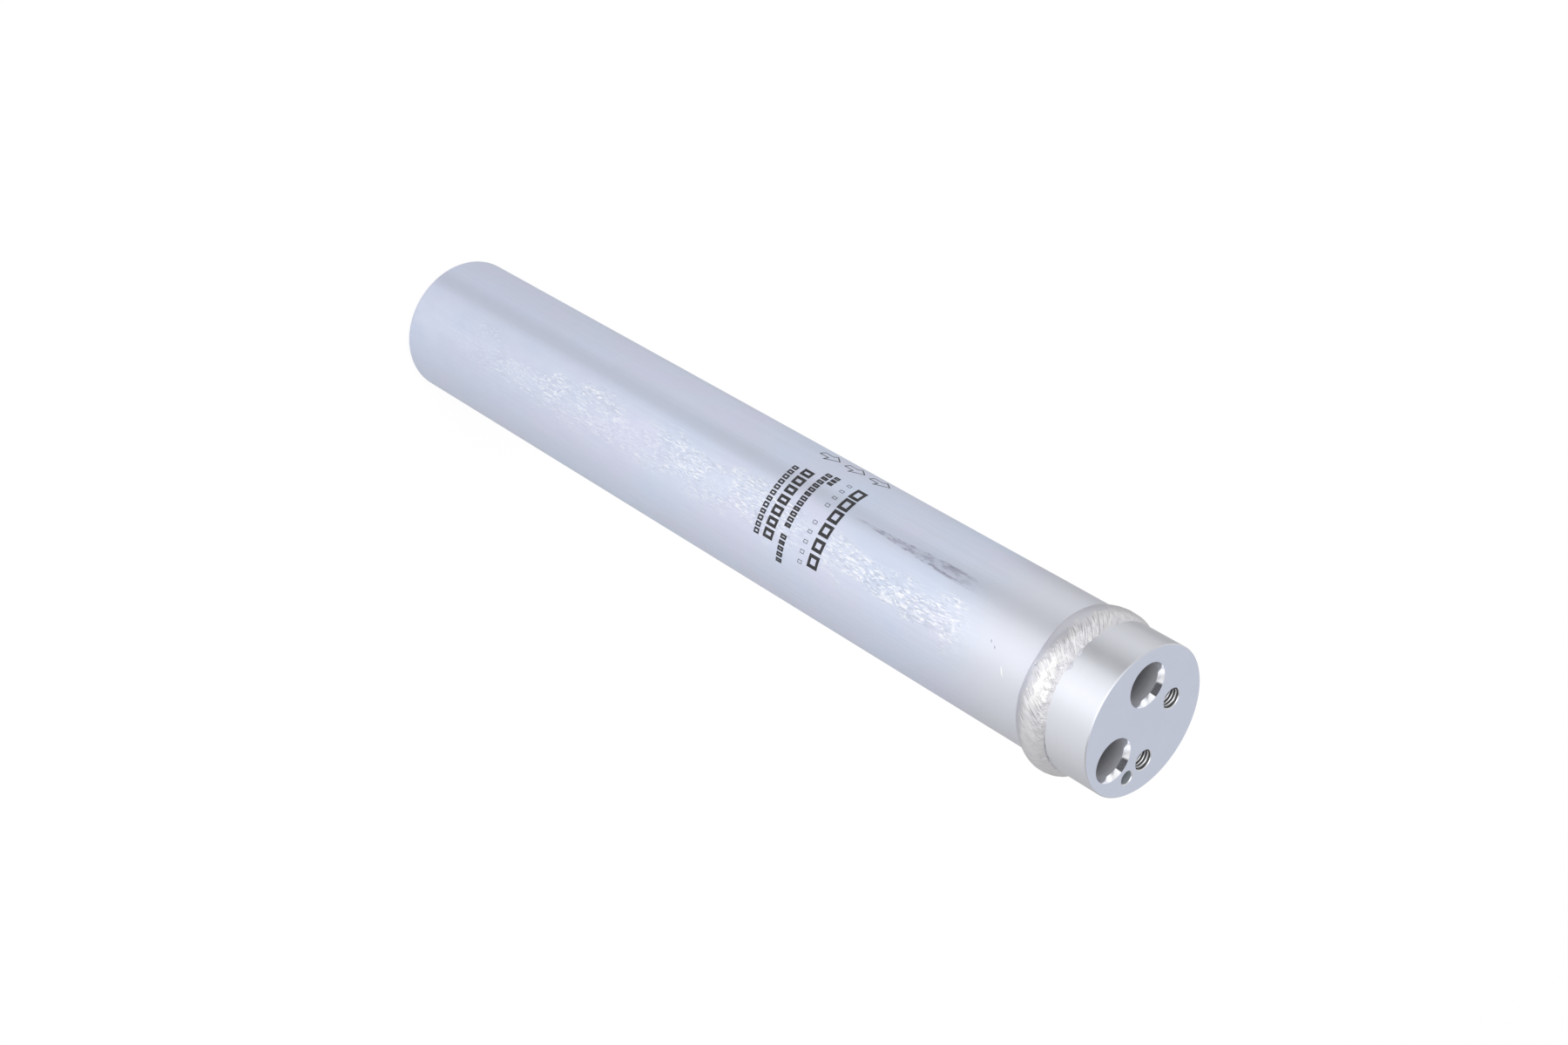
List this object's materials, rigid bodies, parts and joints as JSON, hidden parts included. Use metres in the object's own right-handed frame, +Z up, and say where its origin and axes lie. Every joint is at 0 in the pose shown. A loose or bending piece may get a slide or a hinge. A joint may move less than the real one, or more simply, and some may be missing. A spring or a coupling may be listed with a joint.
{
  "type": "filter drier",
  "caption": "Tall round aluminium can with a welded head block: pipe ports, tapped holes and a pin hole in its flat face, a desiccant bed and a pickup tube inside.",
  "frame": {"origin": "middle of the flat closed end that the part stands on", "axes": "+Z up along the can to the ported face; Y runs parallel to the line through the ports"},
  "size_m": [0.049, 0.049, 0.303],
  "materials": {
    "can_aluminium": "drawn, satin, lightly scuffed",
    "head_aluminium": "turned and faced, satin",
    "weld_aluminium": "as welded, brushed, dull",
    "tube_aluminium": "drawn, bright",
    "plated_steel": "tinned, bright",
    "spring_steel": "drawn wire, oiled",
    "felt": "needled polyester felt",
    "desiccant": "packed molecular sieve beads",
    "nylon": "moulded, natural",
    "print_ink": "stamped ink, matte"
  },
  "bodies": {
    "root": {"can": "can_aluminium", "head": "head_aluminium", "weld_bead": "weld_aluminium", "pickup_tube": "tube_aluminium", "strainer_cage": "nylon", "strainer_mesh": "nylon", "sump_spacer": "tube_aluminium", "lower_plate": "plated_steel", "lower_screen": "plated_steel", "lower_filter_pad": "felt", "desiccant_bed": "desiccant", "upper_filter_pad": "felt", "upper_screen": "plated_steel", "upper_plate": "plated_steel", "hold_down_spring": "spring_steel"}
  },
  "joints": []
}
